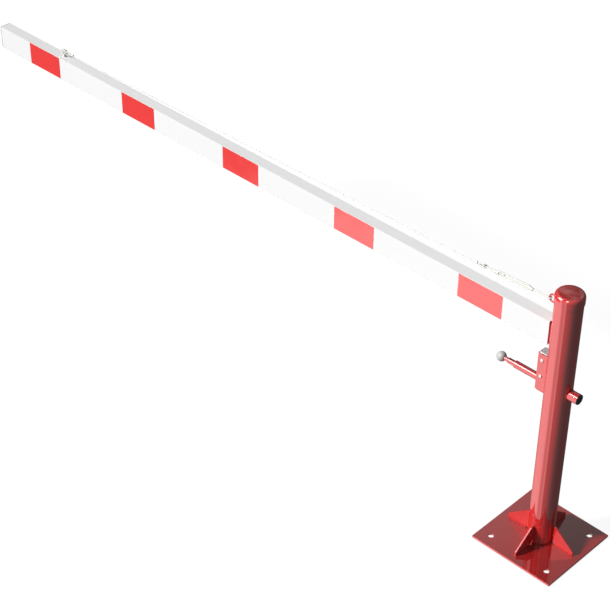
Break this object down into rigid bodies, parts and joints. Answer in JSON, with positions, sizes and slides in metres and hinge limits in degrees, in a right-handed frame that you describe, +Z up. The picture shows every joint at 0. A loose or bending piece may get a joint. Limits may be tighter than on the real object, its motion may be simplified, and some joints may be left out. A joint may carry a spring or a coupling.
{
  "type": "traffic barrier",
  "caption": "Swing-arm traffic barrier: a wire-stayed boom on a post that turns over a bolted base plate, with a sliding lock plunger.",
  "frame": {"origin": "on the post's axis at the underside of the base plate", "axes": "+Z up along the post, -X along the boom from the post to its tip, Y across the boom"},
  "size_m": [3.258, 0.36, 1.1338],
  "materials": {
    "red_paint": "gloss powder coat",
    "white_paint": "white powder coat on aluminium",
    "red_film": "retroreflective film",
    "zinc": "zinc plated",
    "galvanised": "hot-dip galvanised",
    "bare_steel": "plain",
    "knob_metal": "satin",
    "rope_wire": "stranded galvanised wire",
    "black_screw": "blackened",
    "ferrule_alloy": "pressed",
    "grey_plastic": "moulded",
    "black_plastic": "gloss moulded",
    "bearing_plastic": "machined polyamide"
  },
  "bodies": {
    "base": {"base_plate": "red_paint", "base_socket": "red_paint", "gusset_1": "red_paint", "gusset_2": "red_paint", "gusset_3": "red_paint", "gusset_4": "red_paint", "pivot_tube": "bare_steel", "pivot_top_plate": "bare_steel", "lower_bush": "bearing_plastic", "upper_bush": "bearing_plastic", "thrust_washer": "bearing_plastic"},
    "mast": {"arm_nuts": "zinc", "arm_screws": "zinc", "arm_washers": "zinc", "bearing_plate": "bare_steel", "boom_arm": "red_paint", "boom_end_plug": "grey_plastic", "boom_ferrule": "ferrule_alloy", "boom_profile": "white_paint", "boom_thimble": "zinc", "eye_bolt": "zinc", "eye_nut": "zinc", "film_back_1": "red_film", "film_back_2": "red_film", "film_back_3": "red_film", "film_back_4": "red_film", "film_back_5": "red_film", "film_front_1": "red_film", "film_front_2": "red_film", "film_front_3": "red_film", "film_front_4": "red_film", "film_front_5": "red_film", "guide_bush": "red_paint", "guide_screw": "black_screw", "guide_tube": "red_paint", "lock_block": "galvanised", "lock_bolts": "zinc", "lock_housing": "red_paint", "lock_nuts": "zinc", "lock_washers": "zinc", "mast_cap": "red_paint", "mast_tube": "red_paint", "shackle": "zinc", "shackle_pin": "zinc", "stay_eye": "red_paint", "stay_rope": "rope_wire", "strain_ferrule": "ferrule_alloy", "strain_thimble": "zinc", "stub_plug": "black_plastic", "stub_tube": "red_paint", "tube_screw": "black_screw", "turnbuckle_eye_rod": "zinc", "turnbuckle_hook_rod": "zinc", "turnbuckle_nuts": "zinc"},
    "plunger": {"plunger_rod": "red_paint", "ball_knob": "knob_metal", "plunger_spring": "bare_steel"},
    "turnbuckle": {"turnbuckle_frame": "zinc"}
  },
  "joints": [
    {"name": "mast_swing", "type": "hinge", "parent": "base", "child": "mast", "pos_m": [0, 0, 0.716], "axis": [0, 0, 1], "range_deg": [-90, 90]},
    {"name": "plunger_slide", "type": "slide", "parent": "mast", "child": "plunger", "axis": [1, 0, 0], "range_m": [0, 0.012], "deforming": ["plunger_spring"]},
    {"name": "turnbuckle_turn", "type": "hinge", "parent": "mast", "child": "turnbuckle", "pos_m": [-0.361, 0, 1.0542], "axis": [0.9991, 0, 0.0435], "range_deg": [-360, 360]}
  ]
}
